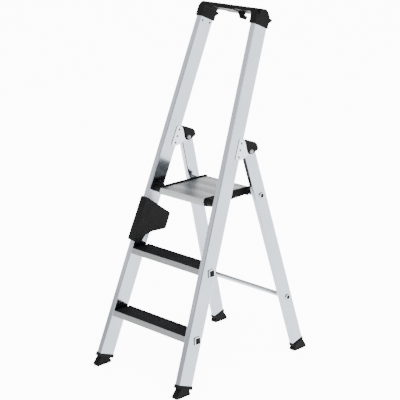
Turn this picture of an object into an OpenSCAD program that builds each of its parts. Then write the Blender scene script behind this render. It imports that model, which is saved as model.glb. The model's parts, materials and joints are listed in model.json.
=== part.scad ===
// Folding platform stepladder: a leaning front frame with two treads, a high
// guard rail and a head cap, a rear frame hinged behind it, and a platform that
// pivots on the front frame and hooks over the rear frame's upper cross tube.
// Millimetres, +Z up, +Y towards the rear legs, +X to the climber's right.
// The origin lies on the floor, in the middle of the standing ladder.

/* [Front frame] */
// Lean of the front stiles from upright, in degrees
front_lean = 20.4; // [18:0.1:23]
// Splay of each stile inside the leaning plane, in degrees
splay = 3.3; // [3:0.1:3.6]
// Gap between the stiles where their line meets the floor
base_gap = 428; // [420:1:440]
// Width of a stile, seen from the front
stile_w = 25; // [24:0.5:26]
// Depth of a stile, front to back
stile_d = 73; // [70:1:76]
// Wall of the stile profile
stile_wall = 2; // [1.5:0.1:2.5]
// Distance along the stile from the floor to the foot cut
stile_cut = 56; // [54:1:60]
// Distance along the stile from the floor to the lower edge of the head cap
rail_len = 1447; // [1400:1:1480]

/* [Treads] */
// Height of the lower tread
first_step = 220; // [215:1:225]
// Height between the treads, and from the upper tread to the platform
step_pitch = 243; // [240:1:246]
// Depth of a tread, front to back
tread_d = 80; // [76:1:84]
// Height of a tread's front lip
lip_h = 20; // [16:1:22]
// Outside size of the square tube that carries a tread
tread_tube = 27; // [25:1:28]

/* [Platform] */
// Depth of the deck, front to back
deck_d = 253; // [248:1:256]
// Width of the deck between its brackets
deck_w = 238; // [230:1:242]
// Height of the deck's front lip
deck_lip = 23; // [20:1:26]
// Angle that the platform swings up when the ladder is folded
platform_swing = 69; // [60:1:69]

/* [Rear frame] */
// Lean of the rear legs from upright, in degrees
rear_lean = 16.3; // [15:0.1:17]
// Width of a rear leg, seen from behind
leg_w = 21; // [20:0.5:21]
// Depth of a rear leg, front to back
leg_d = 59; // [56:1:60]
// Wall of the rear leg profile
leg_wall = 1.8; // [1.5:0.1:2.5]
// Distance along the front frame from the floor to the hinge
hinge_u = 978; // [970:1:985]
// Distance from the front face of the stiles back to the hinge
hinge_v = 122; // [120:1:124]
// Outside diameter of the cross tubes
cross_d = 20; // [18:1:22]

/* [Hidden] */

$fn = 48;
// Distance from the front feet's toes to the heels of the rear feet
footprint_d = 744;
// Front toes ahead of the middle, and the stiles' front plane 3 behind them
front_y = -footprint_d / 2 - 3;
// Small gap that keeps neighbouring solids from sharing volume
gap = 0.1;
// Radial running clearance of the hinge bolts and platform pins
run = 0.08;
tan_splay = tan(splay);
// Hinge axis of the rear frame
hinge_y = front_y + hinge_v * cos(front_lean) + hinge_u * sin(front_lean);
hinge_z = hinge_u * cos(front_lean) - hinge_v * sin(front_lean);
hinge_x = base_gap / 2 + stile_w / 2 - tan_splay * hinge_u;
bolt_r = 4;
// Length of a rear leg from the hinge to the floor
leg_len = hinge_z / cos(rear_lean);
// Splay of a rear leg, whose foot stands in line with the stile's foot
rear_splay = atan(tan_splay * hinge_u / leg_len);
leg_top = 14;
leg_cut = 40 - leg_len;
// Cross tubes: [distance down the leg from the hinge, distance behind its middle]
upper_cross = [195, 2];
lower_cross = [662, 4];
cross_r = cross_d / 2;

// Platform pivot, and the deck around it
deck_z = first_step + 2 * step_pitch;
pivot_y = front_y + 285;
pivot_z = deck_z - 11;
pin_r = 5;
deck_t = 3;
deck_y = front_y + 268;
bracket_t = 4;
bracket_x = deck_w / 2 + gap;
rim_h = 5;

// Plates, cheeks and heads of the hinge, outwards from the stile's centre plane
plate_t = 2.5;
cheek_gap = 1.4;
cheek_t = 2.5;
plate_in = stile_w / 2 + gap;
cheek_in = plate_in + plate_t + cheek_gap;
cheek_out = cheek_in + cheek_t;

// ---------------------------------------------------------------- helpers

function unit(a) = a / norm(a);

// Points of the arc that rounds corner p, between neighbours a and b
function corner(a, p, b, r, n = 7) =
  let (u = unit(a - p), w = unit(b - p), half = acos(u * w) / 2,
    c = p + unit(u + w) * r / sin(half), t = r / tan(half),
    s = p + u * t - c, e = p + w * t - c,
    from = atan2(s.y, s.x), sweep = (atan2(e.y, e.x) - from + 540) % 360 - 180)
  [for (i = [0:n]) c + r * [cos(from + sweep * i / n), sin(from + sweep * i / n)]];

// Outline with a radius at each point: p = [[x, y, r], ...]
function rounded(p) = let (n = len(p), xy = [for (q = p) [q.x, q.y]])
  [for (i = [0:n - 1]) each (p[i].z == 0 ? [xy[i]]
    : corner(xy[(i + n - 1) % n], xy[i], xy[(i + 1) % n], p[i].z))];

// Rectangle with true round corners, from the origin
module round_rect(w, d, r) {
  translate([r, 0]) square([w - 2 * r, d]);
  translate([0, r]) square([w, d - 2 * r]);
  for (x = [r, w - r], y = [r, d - r])
    translate([x, y]) circle(r);
}

// Box section with one hollow, from the origin
module box_section(w, d, wall, r) {
  difference() {
    round_rect(w, d, r);
    translate([wall, wall]) round_rect(w - 2 * wall, d - 2 * wall, r - wall + 0.5);
  }
}

// The same child on the right side, or mirrored to the left
module on(side) {
  mirror([side < 0 ? 1 : 0, 0, 0]) children();
}

// Frame of the leaning plane: y runs back from its face, z runs up the stiles
module front_frame() {
  translate([0, front_y, 0]) rotate([-front_lean, 0, 0]) children();
}

// Frame of the right stile: x = 0 is its inner face
module stile_frame() {
  front_frame() translate([base_gap / 2, 0, 0]) rotate([0, -splay, 0]) children();
}

// Frame of the rear legs: the origin is on the hinge axis, z runs up the legs
module rear_frame() {
  translate([0, hinge_y, hinge_z]) rotate([rear_lean, 0, 0]) children();
}

// Frame of the right leg: x = 0 is its centre plane
module leg_frame() {
  rear_frame() translate([hinge_x, 0, 0]) rotate([0, -rear_splay, 0]) children();
}

// Solid with a (y, z) outline, from x0 to x1
module side_prism(x0, x1) {
  translate([x0, 0, 0]) rotate([90, 0, 90]) linear_extrude(x1 - x0) children();
}

// Solid with an (x, z) outline, from y0 to y1
module front_prism(y0, y1) {
  translate([0, y1, 0]) rotate([90, 0, 0]) linear_extrude(y1 - y0) children();
}

// Round bar along x
module x_bar(x0, x1, r) {
  translate([x0, 0, 0]) rotate([0, 90, 0]) cylinder(h = x1 - x0, r = r);
}

// Domed rivet head that stands on x = 0 and faces +x
module dome(r, h) {
  rotate([0, 90, 0]) rotate_extrude()
    polygon([[0, 0], [r, 0], [r * 0.96, h * 0.3], [r * 0.83, h * 0.62], [r * 0.6, h * 0.85],
      [r * 0.32, h * 0.97], [0, h]]);
}

// ---------------------------------------------------------------- stiles

// Front-frame places of the fasteners, as [distance back, distance up]
hinge_rivet_spots = [for (i = [-1:1]) [63, hinge_u - 8 + 27 * i]];
head_rivet_spots = [[16, rail_len - 12], [58, rail_len - 12]];
shoe_rivet_spots = [[50, 744], [60, 762]];
grip_screw_spots = [[8, 688], [8, 618], [8, 545]];
rivet_r = 2.4;

// Height of the centre of the tube that carries a tread
function tube_z(step) = step - 19.3;

// Place of that tube: half a tread behind the stile's front face
function tube_y(step) = front_y + step * tan(front_lean) + 3 + tread_d / 2;

steps = [first_step, first_step + step_pitch];

// Square prism along x through both stiles at a tread
module tube_prism(step, size, half_len) {
  translate([-half_len, tube_y(step) - size / 2, tube_z(step) - size / 2])
    cube([2 * half_len, size, size]);
}

module front_stile(side) {
  color("#ccd1d7") difference() {
    on(side) stile_frame() difference() {
      translate([0, 0, stile_cut])
        linear_extrude(rail_len + 40 - stile_cut) box_section(stile_w, stile_d, stile_wall, 4);
      for (p = hinge_rivet_spots)
        translate([0, p.x, p.y]) x_bar(-1, stile_w + 1, rivet_r + gap);
      for (p = concat(head_rivet_spots, shoe_rivet_spots))
        translate([0, p.x, p.y]) x_bar(-1, stile_wall + 1, rivet_r + gap);
      if (side < 0)
        for (p = grip_screw_spots)
          translate([0, p.x, p.y]) x_bar(-1, stile_wall + 1, rivet_r + gap);
    }
    for (step = steps)
      tube_prism(step, tread_tube + 2 * gap, 300);
  }
}

// ---------------------------------------------------------------- feet

// Collar under a profile's cut end, and the plug that holds it in the profile
module foot_top(w, d, wall, h) {
  translate([-2, -2, -h]) linear_extrude(h - gap) round_rect(w + 4, d + 4, 3);
  translate([wall + 0.4, wall + 0.4, -gap - 0.1])
    linear_extrude(38) round_rect(w - 2 * wall - 0.8, d - 2 * wall - 0.8, 2);
}

// Foot block in world (y, z), with its grip grooves, about the centre plane x
module foot_block(x, outline, y0, y1) {
  half = stile_w / 2 + 1.5;
  difference() {
    side_prism(x - half, x + half) polygon(rounded(outline));
    for (z = [2.4, 5.8])
      difference() {
        translate([x - half - 1, y0 - 1, z]) cube([2 * half + 2, y1 - y0 + 2, 1.2]);
        translate([x - half + 1.2, y0 + 1.2, z - 1]) cube([2 * half - 2.4, y1 - y0 - 2.4, 4]);
      }
    for (y = [y0 + 8:8:y1 - 6])
      translate([x - half + 3, y, -1]) cube([2 * half - 6, 3, 3]);
  }
}

module front_foot(side) {
  toe = front_y + 3;
  heel = toe + 71;
  color("#26272a") on(side) {
    stile_frame() translate([0, 0, stile_cut]) foot_top(stile_w, stile_d, stile_wall, 14);
    foot_block(base_gap / 2 + stile_w / 2 - 1, [[toe, 0, 1], [heel, 0, 1], [heel, 9, 2],
      [heel - 5, 15, 1], [heel - 5, 27, 0], [toe + 30, 46, 0], [toe + 21, 34, 4], [toe, 9, 3]],
      toe, heel);
  }
}

module rear_foot(side) {
  heel = footprint_d / 2;
  toe = heel - 71;
  color("#26272a") on(side) {
    leg_frame() translate([-leg_w / 2, -leg_d / 2, leg_cut]) foot_top(leg_w, leg_d, leg_wall, 11);
    foot_block(base_gap / 2 + stile_w / 2 - 1, [[toe, 0, 1], [heel, 0, 1], [heel, 9, 2],
      [heel - 14, 30, 4], [heel - 24, 42, 0], [toe + 6, 30, 0], [toe + 4, 15, 1], [toe, 9, 2]],
      toe, heel);
  }
}

// ---------------------------------------------------------------- treads

// Everything between the inner faces of the two stiles, clear of them by side_gap
module between_stiles(side_gap) {
  reach = 1600;
  half = base_gap / 2 - side_gap;
  front_frame() front_prism(-100, 200)
    polygon([[-half, 0], [half, 0], [half - reach * tan_splay, reach], [tan_splay * reach - half, reach]]);
}

// Lip that follows the stile's lean, h high, under a tread or deck edge at (y, z)
function lip(y, z, h, t) = [[y, z], [y - h * tan(front_lean), z - h],
  [y - h * tan(front_lean) + t, z - h], [y + t, z]];

module tread(step) {
  top = step - 3;
  y = front_y + step * tan(front_lean) + 3;
  bottom = tube_z(step) + tread_tube / 2 + gap;
  color("#b4b7b9") intersection() {
    between_stiles(gap);
    side_prism(-250, 250) union() {
      polygon(lip(y, step - 0.4, lip_h, 3));
      polygon(lip(y + tread_d - 2.5, top, lip_h - 3, 2.5));
      translate([y + 0.5, top - 2.5]) square([tread_d - 1, 2.5]);
      for (rib = [-9, 7])
        translate([tube_y(step) + rib, bottom]) square([2, top - 1 - bottom]);
    }
  }
}

// Ribbed anti-slip pad on a tread
module tread_pad(step) {
  top = step - 3;
  y = front_y + step * tan(front_lean) + 3;
  first = y + 3.2;
  pitch = 5;
  color("#232427") intersection() {
    between_stiles(1);
    side_prism(-250, 250) union() {
      translate([first, top + gap / 2]) square([tread_d - 3.4, 1.9]);
      for (i = [0:13])
        translate([first + 0.4 + pitch * i, top + 1]) square([3.4, 2]);
      // Raised edge at the back
      translate([first + tread_d - 6.4, top + 1]) square([3, 4.5]);
    }
  }
}

// Square tube under a tread: it passes through both stiles and is flared over them
module tread_tube_part(step) {
  collar = tread_tube + 5;
  color("#c4c8cc") difference() {
    union() {
      difference() {
        tube_prism(step, tread_tube, 300);
        for (side = [-1, 1])
          on(side) stile_frame() translate([stile_w + 3, -200, 0]) cube([200, 500, 900]);
      }
      for (side = [-1, 1])
        on(side) intersection() {
          stile_frame() translate([stile_w + gap, -20, 0]) cube([4, 140, 900]);
          translate([0, tube_y(step), tube_z(step)]) side_prism(150, 300)
            translate([-collar / 2, -collar / 2]) round_rect(collar, collar, 6);
        }
    }
    tube_prism(step, tread_tube - 3, 320);
  }
}

// Black plugs in the ends of both tread tubes
module tread_tube_plugs() {
  size = tread_tube - 3 - 2 * gap;
  color("#1b1c1e")
    for (side = [-1, 1], step = steps)
      on(side) intersection() {
        stile_frame() translate([-10, -20, 0]) cube([stile_w + 13.2, 140, 900]);
        translate([0, tube_y(step), tube_z(step)]) side_prism(150, 300)
          translate([-size / 2, -size / 2]) round_rect(size, size, 3);
      }
}

// ---------------------------------------------------------------- head cap

cap_top = rail_len + 63;
cap_under = rail_len + 44;
// Outer half width of the cap at its lower edge
cap_half = base_gap / 2 + stile_w + 3.2 - tan_splay * rail_len;
// Inner half width of the opening under the cap
cap_gap = base_gap / 2 - 3.2 - tan_splay * rail_len;

// The cap from the front: wide round corners in front, tighter ones behind
module cap_front_outline(half, r) {
  inner_top = cap_gap - 44 * tan_splay;
  polygon(rounded([[-half, rail_len - 4, 0], [63 * tan_splay - half, cap_top + 6, r],
    [half - 63 * tan_splay, cap_top + 6, r], [half, rail_len - 4, 0], [cap_gap, rail_len - 4, 1],
    [inner_top, cap_under, 9], [28, cap_under, 1], [27, cap_under - 3, 1],
    [-62, cap_under - 3, 1], [-63, cap_under, 1], [-inner_top, cap_under, 9],
    [-cap_gap, rail_len - 4, 1]]));
}

module cap_side_outline() {
  polygon(rounded([[-3, rail_len, 0], [stile_d + 3, rail_len - 3, 0], [stile_d + 3, rail_len + 41, 1.5],
    [66, rail_len + 54, 14], [49, cap_top + 4, 2], [4, rail_len + 60, 5], [-3, rail_len + 57, 3]]));
}

// Small stop at the back of each leg of the cap
module cap_nub() {
  polygon(rounded([[stile_d, rail_len + 15, 0], [stile_d + 20, rail_len + 32, 1],
    [stile_d + 20, rail_len + 39, 1], [stile_d, rail_len + 39, 0]]));
}

// Hook for a bucket or a cable, seen from the front
module cap_hook() {
  translate([17, cap_under])
    polygon(rounded([[0, 2, 0], [19, -26, 3], [39, -28, 3], [43, -14, 2], [35.5, -12, 1.5],
      [32, -18, 2], [28, -18, 2], [27, 2, 0]]));
}

module head_cap() {
  plug = [stile_wall + 0.3, stile_w - 2 * stile_wall - 0.6, stile_d - 2 * stile_wall - 0.6];
  color("#242528") {
    difference() {
      union() {
        intersection() {
          front_frame() union() {
            front_prism(-3, 14) cap_front_outline(cap_half, 44);
            front_prism(13, stile_d + 3) cap_front_outline(cap_half - 1.5, 10);
          }
          front_frame() side_prism(-200, 200) cap_side_outline();
        }
        for (side = [-1, 1])
          on(side) stile_frame() side_prism(0, stile_w) cap_nub();
      }
      for (side = [-1, 1])
        on(side) stile_frame() translate([-gap, -gap, 1300])
          linear_extrude(rail_len + 40.3 - 1300) round_rect(stile_w + 2 * gap, stile_d + 2 * gap, 4);
      front_frame() translate([-118, 20, cap_top - 9]) cube([236, 24, 30]);
    }
    front_frame() front_prism(38, 56) cap_hook();
    difference() {
      for (side = [-1, 1])
        on(side) stile_frame() translate([plug[0], plug[0], rail_len - 28])
          linear_extrude(69) round_rect(plug[1], plug[2], 2);
      for (side = [-1, 1], p = head_rivet_spots)
        on(side) stile_frame() translate([0, p.x, p.y]) x_bar(-1, 12, rivet_r + gap);
    }
  }
}

// Blind rivet through a wall at x = 0, with its head towards -x
module wall_rivet(depth, head) {
  translate([-gap, 0, 0]) mirror([1, 0, 0]) dome(head, 1.6);
  x_bar(-gap, depth, rivet_r);
}

module head_rivets() {
  color("#9a9ea2")
    for (side = [-1, 1], p = head_rivet_spots)
      on(side) stile_frame() translate([0, p.x, p.y]) wall_rivet(11, 4.6);
}

// ---------------------------------------------------------------- hinges

// Outline of a hinge plate in the leaning frame, about the hinge axis
module plate_outline() {
  polygon(rounded([[-75, 33, 9], [-46, 33, 5], [4, 15.5, 4], [16, 4, 8], [14, -9, 8],
    [2, -16, 6], [-12, -17, 8], [-28, -34, 10], [-56, -49, 8], [-76, -47, 8]]));
}

// x = 0 is the stile's centre plane here; near and far bound one plate
module hinge_plate(side, near, far) {
  color("#c9cdd2") difference() {
    on(side) stile_frame() translate([stile_w / 2, 0, 0]) difference() {
      translate([0, hinge_v, hinge_u]) side_prism(near, far) plate_outline();
      for (p = hinge_rivet_spots)
        translate([0, p.x, p.y]) x_bar(near - 1, far + 1, rivet_r + gap);
    }
    translate([0, hinge_y, hinge_z]) x_bar(-300, 300, bolt_r + gap);
  }
}

module hinge_rivets(side) {
  out = stile_w / 2 + gap + plate_t + gap / 2;
  color("#8f9397")
    for (p = hinge_rivet_spots)
      on(side) stile_frame() translate([stile_w / 2, p.x, p.y]) {
        for (end = [-1, 1])
          on(end) {
            x_bar(0, out, rivet_r);
            translate([out, 0, 0]) dome(4.6, 1.8);
          }
      }
}

module hinge_bolt(side) {
  seat = cheek_out + 0.8;
  color("#d5d8db")
    on(side) translate([hinge_x, hinge_y, hinge_z]) {
      x_bar(-seat, seat, bolt_r);
      translate([seat, 0, 0]) dome(9, 3.5);
      translate([-seat, 0, 0]) mirror([1, 0, 0]) dome(9, 3.5);
    }
}

// ---------------------------------------------------------------- rear frame

module rear_leg(side) {
  color("#ccd1d7") difference() {
    on(side) leg_frame() translate([-leg_w / 2, -leg_d / 2, leg_cut])
      linear_extrude(leg_top - leg_cut) box_section(leg_w, leg_d, leg_wall, 3.5);
    translate([0, hinge_y, hinge_z]) x_bar(-300, 300, bolt_r + run);
    for (cross = [upper_cross, lower_cross])
      rear_frame() translate([0, cross[1], -cross[0]]) x_bar(-300, 300, cross_r + gap);
  }
}

// Moulded cap over the top of a leg: a nose that stops on the stile, a plug in
// the leg, and two cheeks outside the hinge plates
module leg_cap(side) {
  nose = [-16.6, 58];
  color("#27282b") difference() {
    union() {
      on(side) leg_frame() difference() {
        union() {
          side_prism(-cheek_out, cheek_out)
            polygon(rounded([[nose.x, nose.y, 1.5], [31, 24, 9], [40, 8, 6], [38, -11, 4],
              [2, -13.5, 6], [-9, -11, 7], [-14.5, 2, 8], [-13, 40, 8]]));
          side_prism(-leg_w / 2, leg_w / 2)
            polygon([[-leg_d / 2, leg_top + gap], [20, leg_top + gap], [20, 30], nose]);
        }
        // Leg tube
        translate([-leg_w / 2 - 0.2, -60, -100])
          cube([leg_w + 0.4, 60 + leg_d / 2 + 0.2, 100 + leg_top + gap]);
        // Hinge plates, which turn downwards in these slots as the ladder folds
        for (flip = [-1, 1])
          scale([flip, 1, 1]) side_prism(leg_w / 2 + 0.2, cheek_in) plate_slot();
      }
      on(side) leg_frame() translate([-leg_w / 2 + leg_wall + 0.3, -leg_d / 2 + leg_wall + 0.3, -22])
        linear_extrude(22 + leg_top + 1)
          round_rect(leg_w - 2 * leg_wall - 0.6, leg_d - 2 * leg_wall - 0.6, 2);
    }
    translate([0, hinge_y, hinge_z]) x_bar(-300, 300, bolt_r + run);
  }
}

// Room for a hinge plate in a leg cap, in the leg's frame
module plate_slot() {
  circle(19);
  rotate(-front_lean - rear_lean)
    polygon([[-90, 35.5], [-44, 35.5], [6, 18], [10, -18], [-10, -90], [-90, -90]]);
  polygon([[-60, 0], [18, 0], [18, -60], [-60, -60]]);
}

// Distance from the middle to a leg's outer face at a cross tube
function cross_half(cross) = hinge_x + leg_w / 2 + cross[0] * tan(rear_splay);

module cross_tube(cross) {
  half = cross_half(cross);
  color("#c9ced3") rear_frame() translate([0, cross[1], -cross[0]]) difference() {
    union() {
      x_bar(-half - 4.5, half + 4.5, cross_r);
      for (side = [-1, 1])
        on(side) {
          translate([half + 0.9, 0, 0]) rotate([0, 90, 0])
            cylinder(h = 3.6, r1 = cross_r + 3.2, r2 = cross_r + 1.4);
          translate([half - leg_w - 2.8, 0, 0]) x_bar(0, 1.6, cross_r + 1.6);
        }
    }
    x_bar(-half - 8, half + 8, cross_r - 1.5);
  }
}

// Black plugs in the ends of both cross tubes
module cross_tube_plugs() {
  color("#1b1c1e")
    for (side = [-1, 1], cross = [upper_cross, lower_cross])
      on(side) rear_frame() translate([cross_half(cross) - 14, cross[1], -cross[0]])
        x_bar(0, 17.2, cross_r - 1.5 - gap);
}

// ---------------------------------------------------------------- platform

deck_ribs = [62, 173];
rivet_z = deck_z - 22;

module platform_deck() {
  pitch = 9.4;
  color("#a9adb0") difference() {
    union() {
      deck_bar() polygon(lip(deck_y, deck_z - 0.5, deck_lip, 3));
      deck_bar() polygon(rounded([[deck_y + 0.5, deck_z - 0.5, 0], [deck_y + deck_d, deck_z - 0.5, 0],
        [deck_y + deck_d, deck_z - deck_t - 0.5, 0], [deck_y + 0.5, deck_z - deck_t - 0.5, 0]]));
      deck_bar() translate([deck_y + deck_d - 3, deck_z - 8]) square([3, 9]);
      // Rows of anti-slip ribs, with a plain band after every eighth
      for (i = [0:24])
        if ((i + 1) % 8 != 0)
          deck_bar() translate([deck_y + 8 + pitch * i, deck_z - 1]) square([4.7, 1]);
      for (rib = deck_ribs) {
        deck_bar() translate([deck_y + rib - 1.2, rivet_z]) square([2.4, deck_z - 2 - rivet_z]);
        deck_bar() translate([deck_y + rib, rivet_z]) circle(4.5);
      }
      for (rib = [118, 218])
        deck_bar() translate([deck_y + rib, deck_z - 14]) square([2.4, 12]);
    }
    for (rib = deck_ribs)
      translate([0, deck_y + rib, rivet_z]) x_bar(-150, 150, rivet_r + gap);
  }
}

// Full width of the deck, with a (y, z) outline
module deck_bar() {
  side_prism(-deck_w / 2, deck_w / 2) children();
}

// Notch that drops over the upper cross tube. It is open downwards, and its
// front side follows the path of the tube as the ladder folds
module tube_notch() {
  y = hinge_y + upper_cross[0] * sin(rear_lean) + upper_cross[1] * cos(rear_lean);
  z = hinge_z - upper_cross[0] * cos(rear_lean) + upper_cross[1] * sin(rear_lean);
  r = cross_r + 0.5;
  translate([y, z]) circle(r);
  polygon([[y - r, z + 4], [y + r, z + 4], [y + r + 1, z - 30], [y - r - 18, z - 30]]);
}

module platform_bracket(side) {
  top = deck_z + rim_h;
  rear = deck_y + deck_d + 8;
  low = deck_z - 24;
  color("#232427") on(side) difference() {
    union() {
      side_prism(bracket_x, bracket_x + bracket_t)
        polygon(rounded([[deck_y - 2, top, 9], [rear, top, 4], [rear, low, 4],
          [deck_y + 153, low - 5, 20], [deck_y + 38, deck_z - 37, 14], [deck_y - 1, deck_z - 26, 6]]));
      // Raised rim along the outside of the plate
      side_prism(bracket_x + bracket_t - 0.5, bracket_x + bracket_t + 2)
        polygon([[deck_y + 30, top], [rear - 20, top], [rear - 20, top - 4], [deck_y + 30, top - 4]]);
      // Thick hook at the back, over the upper cross tube
      side_prism(bracket_x, bracket_x + 19)
        polygon(rounded([[rear - 40, top - 5, 3], [rear, top - 5, 4], [rear, low, 4],
          [rear - 40, low - 1, 3]]));
      // Hub that reaches out to the shoe on the stile
      translate([bracket_x, pivot_y, pivot_z]) rotate([0, 90, 0])
        cylinder(h = hub_end - bracket_x, r1 = 16, r2 = 13.5);
    }
    side_prism(bracket_x - 1, bracket_x + 20) tube_notch();
    translate([0, pivot_y, pivot_z]) x_bar(0, 300, pin_r + run);
    for (rib = deck_ribs)
      translate([0, deck_y + rib, rivet_z]) x_bar(0, 300, rivet_r + gap);
  }
}

module bracket_rivets() {
  out = bracket_x + bracket_t + gap;
  color("#d5d8db")
    for (side = [-1, 1], rib = deck_ribs)
      on(side) translate([0, deck_y + rib, rivet_z]) {
        x_bar(deck_w / 2 - 14, out, rivet_r);
        translate([out, 0, 0]) dome(4.2, 1.8);
      }
}

// Shoe on the stile's inner face; its boss carries the platform pin
shoe_t = 6;
hub_end = base_gap / 2 - tan_splay * 751 - shoe_t - 3.5;

module bearing_shoe(side) {
  color("#232427") difference() {
    union() {
      on(side) stile_frame() side_prism(-shoe_t, -gap)
        polygon(rounded([[2, 741, 5], [71, 733, 5], [71, 776, 10], [2, 770, 10]]));
      on(side) intersection() {
        translate([0, pivot_y, pivot_z]) x_bar(hub_end + 0.5, 200, 15);
        stile_frame() translate([-60, -10, 700]) cube([60 - gap, 90, 120]);
      }
    }
    translate([0, pivot_y, pivot_z]) x_bar(-300, 300, pin_r + gap / 2);
    for (p = shoe_rivet_spots)
      on(side) stile_frame() translate([0, p.x, p.y]) x_bar(-20, 5, rivet_r + gap);
  }
}

module shoe_rivets() {
  color("#9a9ea2")
    for (side = [-1, 1], p = shoe_rivet_spots)
      on(side) stile_frame() translate([-shoe_t, p.x, p.y]) wall_rivet(shoe_t + 6, 4.4);
}

module platform_pin(side) {
  color("#d5d8db") on(side) translate([0, pivot_y, pivot_z]) {
    x_bar(deck_w / 2 - 1.6, hub_end + 8, pin_r);
    translate([deck_w / 2 - 3.6, 0, 0]) x_bar(0, 2, 7);
  }
}

// ---------------------------------------------------------------- carry grip

// Moulded grip that wraps the left stile and spreads into a wing behind it
module carry_grip() {
  t = 4;
  low = 526;
  high = 705;
  color("#26272a") on(-1) stile_frame() difference() {
    union() {
      side_prism(-t, -gap) polygon(rounded([[-6, low - 2, 3], [-6, high, 3], [5, high, 3],
        [148, high - 39, 8], [148, high - 106, 10], [82, high - 127, 20], [48, high - 146, 10],
        [36, low + 4, 6], [12, low - 3, 4]]));
      // Front plate and outer return, wider at the bottom
      difference() {
        front_prism(-6, 12)
          polygon(rounded([[-t, low - 2, 0], [-t, high, 0], [stile_w + 3.5, high, 3],
            [stile_w + 9, low - 2, 3]]));
        translate([-60, -gap, low - 20]) cube([60 + stile_w - 3, 40, high - low + 40]);
        translate([-gap, -gap, low - 20]) linear_extrude(high - low + 40)
          round_rect(stile_w + 2 * gap, 40, 4);
      }
    }
    for (p = grip_screw_spots)
      translate([0, p.x, p.y]) x_bar(-20, 5, rivet_r + gap);
  }
}

module grip_screws() {
  color("#17181a")
    for (p = grip_screw_spots)
      on(-1) stile_frame() translate([-4, p.x, p.y]) wall_rivet(12, 4);
}

// ---------------------------------------------------------------- nodes

front_stile(-1);  // left_front_stile
front_stile(1);  // right_front_stile
head_cap();
head_rivets();
tread(steps[0]);  // lower_tread
tread(steps[1]);  // upper_tread
tread_pad(steps[0]);  // lower_tread_pad
tread_pad(steps[1]);  // upper_tread_pad
tread_tube_part(steps[0]);  // lower_tread_tube
tread_tube_part(steps[1]);  // upper_tread_tube
tread_tube_plugs();
front_foot(-1);  // left_front_foot
front_foot(1);  // right_front_foot
hinge_plate(-1, -plate_in - plate_t, -plate_in);  // left_hinge_plate_inner
hinge_plate(-1, plate_in, plate_in + plate_t);  // left_hinge_plate_outer
hinge_plate(1, -plate_in - plate_t, -plate_in);  // right_hinge_plate_inner
hinge_plate(1, plate_in, plate_in + plate_t);  // right_hinge_plate_outer
hinge_rivets(-1);  // left_hinge_rivets
hinge_rivets(1);  // right_hinge_rivets
hinge_bolt(-1);  // left_hinge_bolt
hinge_bolt(1);  // right_hinge_bolt
bearing_shoe(-1);  // left_bearing_shoe
bearing_shoe(1);  // right_bearing_shoe
shoe_rivets();
platform_pin(-1);  // left_platform_pin
platform_pin(1);  // right_platform_pin
carry_grip();
grip_screws();
rear_leg(-1);  // left_rear_leg
rear_leg(1);  // right_rear_leg
leg_cap(-1);  // left_leg_cap
leg_cap(1);  // right_leg_cap
cross_tube(upper_cross);  // upper_cross_tube
cross_tube(lower_cross);  // lower_cross_tube
cross_tube_plugs();
rear_foot(-1);  // left_rear_foot
rear_foot(1);  // right_rear_foot
platform_deck();
platform_bracket(-1);  // left_platform_bracket
platform_bracket(1);  // right_platform_bracket
bracket_rivets();
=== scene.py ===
"""Looks of the folding platform stepladder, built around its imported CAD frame.
Metres, +Z up, in the CAD frame's own coordinates."""

import json
import math

import bpy
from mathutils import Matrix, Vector

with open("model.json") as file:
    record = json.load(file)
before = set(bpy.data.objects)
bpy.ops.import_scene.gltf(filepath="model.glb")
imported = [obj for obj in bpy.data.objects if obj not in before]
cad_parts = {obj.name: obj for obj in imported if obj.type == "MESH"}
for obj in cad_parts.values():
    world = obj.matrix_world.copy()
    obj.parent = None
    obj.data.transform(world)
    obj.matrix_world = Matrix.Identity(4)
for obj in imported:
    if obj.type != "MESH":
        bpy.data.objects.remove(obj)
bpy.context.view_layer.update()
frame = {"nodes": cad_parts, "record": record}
NODES = frame["nodes"]


# ---------------------------------------------------------------- node helpers

def new_material(name):
    mat = bpy.data.materials.new(name)
    mat.use_nodes = True
    tree = mat.node_tree
    tree.nodes.clear()
    out = tree.nodes.new("ShaderNodeOutputMaterial")
    bsdf = tree.nodes.new("ShaderNodeBsdfPrincipled")
    tree.links.new(bsdf.outputs["BSDF"], out.inputs["Surface"])
    return mat, tree, bsdf


def coords(tree, scale=(1, 1, 1)):
    """Object coordinates, stretched: the same metres as the CAD frame."""
    tex = tree.nodes.new("ShaderNodeTexCoord")
    mapping = tree.nodes.new("ShaderNodeMapping")
    mapping.inputs["Scale"].default_value = scale
    tree.links.new(tex.outputs["Object"], mapping.inputs["Vector"])
    return mapping.outputs["Vector"]


def noise(tree, vector, scale, detail=4.0, rough=0.5):
    node = tree.nodes.new("ShaderNodeTexNoise")
    node.inputs["Scale"].default_value = scale
    node.inputs["Detail"].default_value = detail
    node.inputs["Roughness"].default_value = rough
    tree.links.new(vector, node.inputs["Vector"])
    return node.outputs["Fac"]


def ramp(tree, fac, low, high, v0=0.0, v1=1.0):
    """Maps fac from [low, high] to [v0, v1], clamped."""
    node = tree.nodes.new("ShaderNodeMapRange")
    node.inputs["From Min"].default_value = low
    node.inputs["From Max"].default_value = high
    node.inputs["To Min"].default_value = v0
    node.inputs["To Max"].default_value = v1
    tree.links.new(fac, node.inputs["Value"])
    return node.outputs["Result"]


def mix_color(tree, fac, a, b):
    node = tree.nodes.new("ShaderNodeMix")
    node.data_type = "RGBA"
    tree.links.new(fac, node.inputs["Factor"])
    for socket, value in ((node.inputs["A"], a), (node.inputs["B"], b)):
        if isinstance(value, tuple):
            socket.default_value = (*value, 1)
        else:
            tree.links.new(value, socket)
    return node.outputs["Result"]


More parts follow.
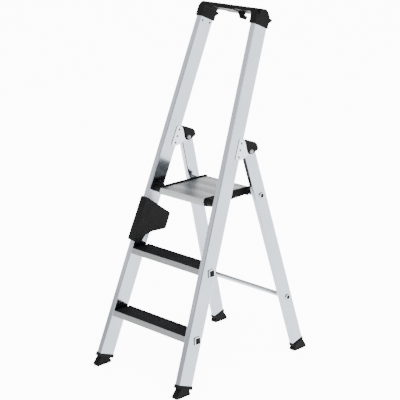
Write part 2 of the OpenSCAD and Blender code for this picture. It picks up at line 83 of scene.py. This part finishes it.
def bump(tree, bsdf, height, distance, strength=1.0, under=None):
    node = tree.nodes.new("ShaderNodeBump")
    node.inputs["Distance"].default_value = distance
    node.inputs["Strength"].default_value = strength
    tree.links.new(height, node.inputs["Height"])
    if under is not None:
        tree.links.new(under, node.inputs["Normal"])
    tree.links.new(node.outputs["Normal"], bsdf.inputs["Normal"])
    return node.outputs["Normal"]


# ---------------------------------------------------------------- materials

def brushed_metal(name, tint, grain, rough, depth=0.000006):
    """Satin metal with drawing lines along the axis where grain is small.

    The tints are darker than real metal, because the floor and the world that
    they mirror are brighter than real."""
    mat, tree, bsdf = new_material(name)
    lines = noise(tree, coords(tree, grain), 1.0, 3.0, 0.6)
    cloud = noise(tree, coords(tree), 9.0, 3.0)
    speck = noise(tree, coords(tree), 260.0, 2.0)
    dark = tuple(c * 0.9 for c in tint)
    base = mix_color(tree, ramp(tree, cloud, 0.3, 0.7), dark, tint)
    light = tuple(min(1, c * 1.04) for c in tint)
    base = mix_color(tree, ramp(tree, lines, 0.35, 0.65, 0.0, 0.5), base, light)
    tree.links.new(base, bsdf.inputs["Base Color"])
    tree.links.new(ramp(tree, lines, 0.3, 0.7, *rough), bsdf.inputs["Roughness"])
    bsdf.inputs["Metallic"].default_value = 1.0
    first = bump(tree, bsdf, lines, depth)
    bump(tree, bsdf, speck, depth * 0.5, under=first)
    return mat


def reflection_banded_metal(name, tint, light, grain, rough, period, offset):
    """Ribbed metal with broad bands of painted reflection across it: lighter bands painted into
    its colour in place of the studio's reflections.
    """
    mat = brushed_metal(name, tint, grain, rough)
    tree = mat.node_tree
    bsdf = next(n for n in tree.nodes if n.type == "BSDF_PRINCIPLED")
    wave = tree.nodes.new("ShaderNodeTexWave")
    wave.bands_direction = "Y"
    # A wave texture repeats every 0.314 / scale
    wave.inputs["Scale"].default_value = 0.314 / period
    wave.inputs["Distortion"].default_value = 0.4
    wave.inputs["Phase Offset"].default_value = offset
    tree.links.new(coords(tree), wave.inputs["Vector"])
    old = bsdf.inputs["Base Color"].links[0].from_socket
    # The lighter bands are painted reflection, mixed into the base colour
    base = mix_color(tree, ramp(tree, wave.outputs["Fac"], 0.45, 0.9, 0.0, 0.8), old, light)
    tree.links.new(base, bsdf.inputs["Base Color"])
    return mat


def moulded_plastic(name, tint, rough, grain, depth=0.00006):
    """Black moulded plastic with a fine leather-like texture.

    Its specular reflection is weak, since the studio around it is very bright."""
    mat, tree, bsdf = new_material(name)
    fine = noise(tree, coords(tree), grain, 2.0)
    wide = noise(tree, coords(tree), 14.0, 4.0)
    scuff = noise(tree, coords(tree, (60, 60, 400)), 1.0, 2.0)
    worn = tuple(c * 1.6 + 0.0004 for c in tint)
    bsdf.inputs["Specular IOR Level"].default_value = 0.012
    base = mix_color(tree, ramp(tree, wide, 0.35, 0.75), tint, worn)
    tree.links.new(base, bsdf.inputs["Base Color"])
    tree.links.new(ramp(tree, scuff, 0.3, 0.7, *rough), bsdf.inputs["Roughness"])
    first = bump(tree, bsdf, fine, depth)
    bump(tree, bsdf, wide, 0.0002, under=first)
    return mat


# Roughness ranges of the metals and the rubbers
SATIN = (0.11, 0.17)
BRUSHED = (0.3, 0.42)
RIBBED = (0.32, 0.42)
TURNED = (0.2, 0.35)
STAMPED = (0.25, 0.4)
# Noise scales along x, y and z: a small one stretches the grain along that axis
GRAIN_UP = (700, 700, 3)
GRAIN_ACROSS = (3, 600, 600)
GRAIN_DECK = (3, 500, 500)
GRAIN_PLATE = (300, 300, 40)
GRAIN_EVEN = (400, 400, 400)
# Distance between the painted reflection bands of the deck, in metres, and where they start
REFLECTION_BAND_PERIOD = 0.075
REFLECTION_BAND_PHASE = 1.0

METALS = {
    "satin_aluminium": ((0.125, 0.137, 0.154), GRAIN_UP, SATIN),
    "tube_aluminium": ((0.16, 0.17, 0.18), GRAIN_ACROSS, SATIN),
    "tread_aluminium": ((0.085, 0.087, 0.089), GRAIN_ACROSS, BRUSHED),
    "hinge_steel": ((0.18, 0.19, 0.205), GRAIN_PLATE, SATIN),
    "bolt_steel": ((0.06, 0.062, 0.065), GRAIN_EVEN, TURNED),
    "rivet_metal": ((0.025, 0.026, 0.028), GRAIN_EVEN, STAMPED),
}
# Tint, roughness range and scale of the moulded texture
BLACKS = {
    "black_screw": ((0.003, 0.003, 0.003), (0.3, 0.45), 900.0),
    "black_plug": ((0.001, 0.001, 0.001), (0.42, 0.6), 900.0),
    "black_plastic": ((0.0016, 0.0016, 0.0017), (0.42, 0.6), 900.0),
    "tread_rubber": ((0.004, 0.004, 0.0045), (0.55, 0.75), 1400.0),
    "foot_rubber": ((0.0016, 0.0016, 0.0017), (0.5, 0.7), 700.0),
}
MATERIALS = {name: brushed_metal(name, *look) for name, look in METALS.items()}
# The deck's lighter bands are painted reflection, not a real tone of the metal
MATERIALS["deck_aluminium"] = reflection_banded_metal(
    "deck_aluminium", (0.115, 0.12, 0.125), (0.20, 0.205, 0.21), GRAIN_DECK, RIBBED,
    REFLECTION_BAND_PERIOD, REFLECTION_BAND_PHASE)
MATERIALS.update({name: moulded_plastic(name, *look) for name, look in BLACKS.items()})
SLOT_OF = {s["node"]: s["material_slot"] for s in frame["record"]["subparts"]}
for name, node in NODES.items():
    node.data.materials.clear()
    node.data.materials.append(MATERIALS[SLOT_OF[name]])


# ---------------------------------------------------------------- bevels

# Bevel width by material, in metres. The others have round or covered edges
EDGE_WIDTH = {
    "tube_aluminium": 0.0004, "tread_aluminium": 0.0006, "deck_aluminium": 0.0004,
    "hinge_steel": 0.0005, "black_plastic": 0.0009, "tread_rubber": 0.0004,
    "foot_rubber": 0.0008,
}
BEVEL_ANGLE = math.radians(40)
SHARP_ANGLE = math.radians(38)


def soften(node, width):
    """A small real bevel on the hard edges, and smooth shading for the round ones."""
    if width:
        mod = node.modifiers.new("edges", "BEVEL")
        mod.width = width
        mod.segments = 2
        mod.limit_method = "ANGLE"
        mod.angle_limit = BEVEL_ANGLE
        mod.use_clamp_overlap = True
        mod.harden_normals = False
    mod = node.modifiers.new("normals", "WEIGHTED_NORMAL")
    mod.keep_sharp = True


for name, node in NODES.items():
    for poly in node.data.polygons:
        poly.use_smooth = True
    node.data.set_sharp_from_angle(angle=SHARP_ANGLE)
    soften(node, EDGE_WIDTH.get(SLOT_OF[name], 0.0))


# ---------------------------------------------------------------- stage

FLOOR_HALF = 30.0
FLOOR_GLOW = 9.0
WORLD_STRENGTH = 3.4
LAMP_SIZE = 3.0
AIM = Vector((0, 0, 0.7))


def add_floor():
    """Pale paper that glows by itself, so that the ground around the ladder is white."""
    mesh = bpy.data.meshes.new("floor")
    corners = [(-1, -1), (1, -1), (1, 1), (-1, 1)]
    mesh.from_pydata([(x * FLOOR_HALF, y * FLOOR_HALF, 0) for x, y in corners], [], [(0, 1, 2, 3)])
    floor = bpy.data.objects.new("floor", mesh)
    bpy.context.scene.collection.objects.link(floor)
    mat, tree, bsdf = new_material("floor_paper")
    cloud = noise(tree, coords(tree), 2.0, 3.0)
    base = mix_color(tree, ramp(tree, cloud, 0.3, 0.7), (0.93, 0.93, 0.93), (0.95, 0.95, 0.95))
    tree.links.new(base, bsdf.inputs["Base Color"])
    bsdf.inputs["Roughness"].default_value = 0.9
    bsdf.inputs["Emission Color"].default_value = (1, 1, 1, 1)
    bsdf.inputs["Emission Strength"].default_value = FLOOR_GLOW
    mesh.materials.append(mat)


def add_light(name, location, energy):
    """A square area lamp that points at the middle of the ladder."""
    data = bpy.data.lights.new(name, "AREA")
    data.energy = energy
    data.shape = "SQUARE"
    data.size = LAMP_SIZE
    lamp = bpy.data.objects.new(name, data)
    lamp.location = location
    lamp.rotation_euler = (AIM - Vector(location)).to_track_quat("-Z", "Y").to_euler()
    bpy.context.scene.collection.objects.link(lamp)


def add_world():
    world = bpy.data.worlds.new("studio")
    bpy.context.scene.world = world
    world.use_nodes = True
    background = world.node_tree.nodes["Background"]
    background.inputs["Color"].default_value = (1, 1, 1, 1)
    background.inputs["Strength"].default_value = WORLD_STRENGTH


add_floor()
add_world()
add_light("key", (4.0, -3.0, 4.0), 400)
add_light("fill", (-3.5, -3.5, 2.5), 60)


# ---------------------------------------------------------------- camera

# The photo's view: a long lens, to the right of the ladder's front and slightly above it
LOOK_AT = Vector((0, -0.0081, 0.6594))
AZIMUTH = math.radians(44.78)
ELEVATION = math.radians(16.16)
DISTANCE = 5.2356
direction = Vector((math.sin(AZIMUTH) * math.cos(ELEVATION),
                    -math.cos(AZIMUTH) * math.cos(ELEVATION), math.sin(ELEVATION)))
camera_data = bpy.data.cameras.new("camera")
camera_data.sensor_width = 36.0
camera_data.lens = 120.1
camera = bpy.data.objects.new("camera", camera_data)
camera.location = LOOK_AT + direction * DISTANCE
camera.rotation_euler = (-direction).to_track_quat("-Z", "Y").to_euler()
bpy.context.scene.collection.objects.link(camera)
bpy.context.scene.camera = camera
